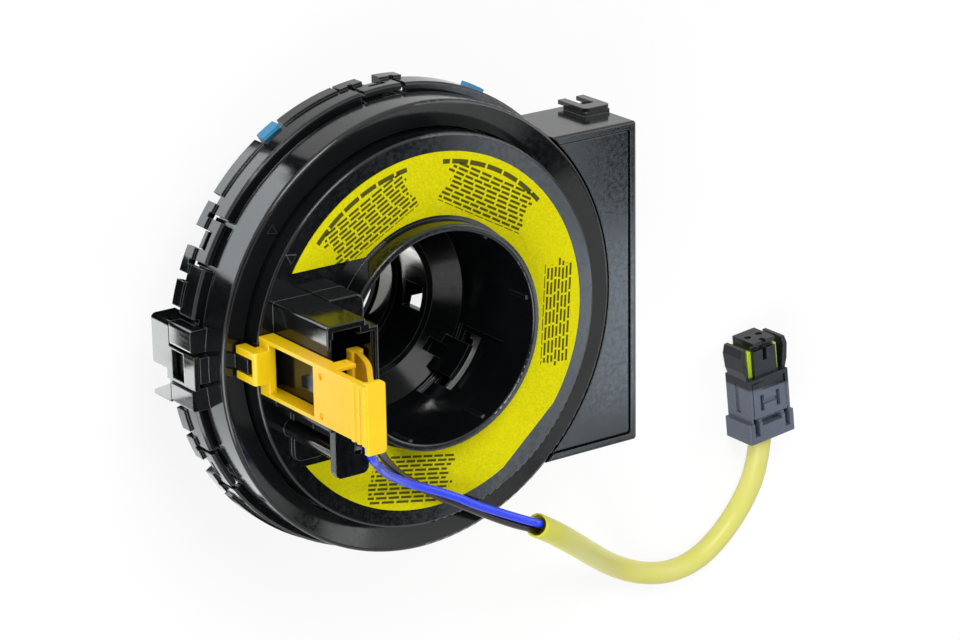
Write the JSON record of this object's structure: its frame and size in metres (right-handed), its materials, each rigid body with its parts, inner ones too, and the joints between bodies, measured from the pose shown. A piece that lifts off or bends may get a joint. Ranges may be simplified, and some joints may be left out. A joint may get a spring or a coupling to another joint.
{
  "type": "steering clock spring",
  "caption": "Ring-shaped rotary connector for a steering column, with side box, socket block, yellow lock clip and a sheathed two-wire lead that ends in a plug.",
  "frame": {"origin": "on the rotor's axis at the rear end of the hub's sleeve, which is also the surface the part stands on", "axes": "+Z along the rotor's axis towards the driver, +X towards the connector box, +Y towards the box's wire clip"},
  "size_m": [0.1952, 0.1567, 0.0894],
  "materials": {
    "black_shell": "satin",
    "rotor_plastic": "satin",
    "grey_carrier": "satin",
    "tinned_metal": "satin",
    "blue_plastic": "satin",
    "clear_film": "gloss",
    "ribbon_film": "gloss",
    "label_film": "satin",
    "clip_plastic": "satin",
    "blue_insulation": "gloss",
    "black_insulation": "gloss",
    "sheath_vinyl": "satin",
    "plug_plastic": "satin",
    "insert_plastic": "satin"
  },
  "bodies": {
    "stator": {"front_cover": "black_shell", "rear_housing": "black_shell", "box_cover": "black_shell", "stator_lead_block": "grey_carrier", "column_terminals": "tinned_metal", "blue_locking_tabs": "blue_plastic", "damper_sheet": "clear_film", "ribbon_cable": "ribbon_film"},
    "rotor": {"rotor_housing": "rotor_plastic", "front_label": "label_film", "socket_terminals": "tinned_metal", "rotor_lead_block": "grey_carrier", "lower_hub": "rotor_plastic", "blue_wire": "blue_insulation", "black_wire": "black_insulation", "lead_sheath": "sheath_vinyl", "plug_body": "plug_plastic", "plug_lock": "plug_plastic", "plug_insert": "insert_plastic", "plug_terminals": "tinned_metal"},
    "clip": {"lock_clip": "clip_plastic"}
  },
  "joints": [
    {"name": "rotor_turn", "type": "hinge", "parent": "stator", "child": "rotor", "pos_m": [0, 0, 0.044], "axis": [0, 0, 1], "range_deg": [-900, 900], "deforming": ["ribbon_cable", "blue_wire", "black_wire", "lead_sheath"]},
    {"name": "lock_clip_pull", "type": "slide", "parent": "rotor", "child": "clip", "axis": [0, 0, 1], "range_m": [0, 0.045]}
  ]
}
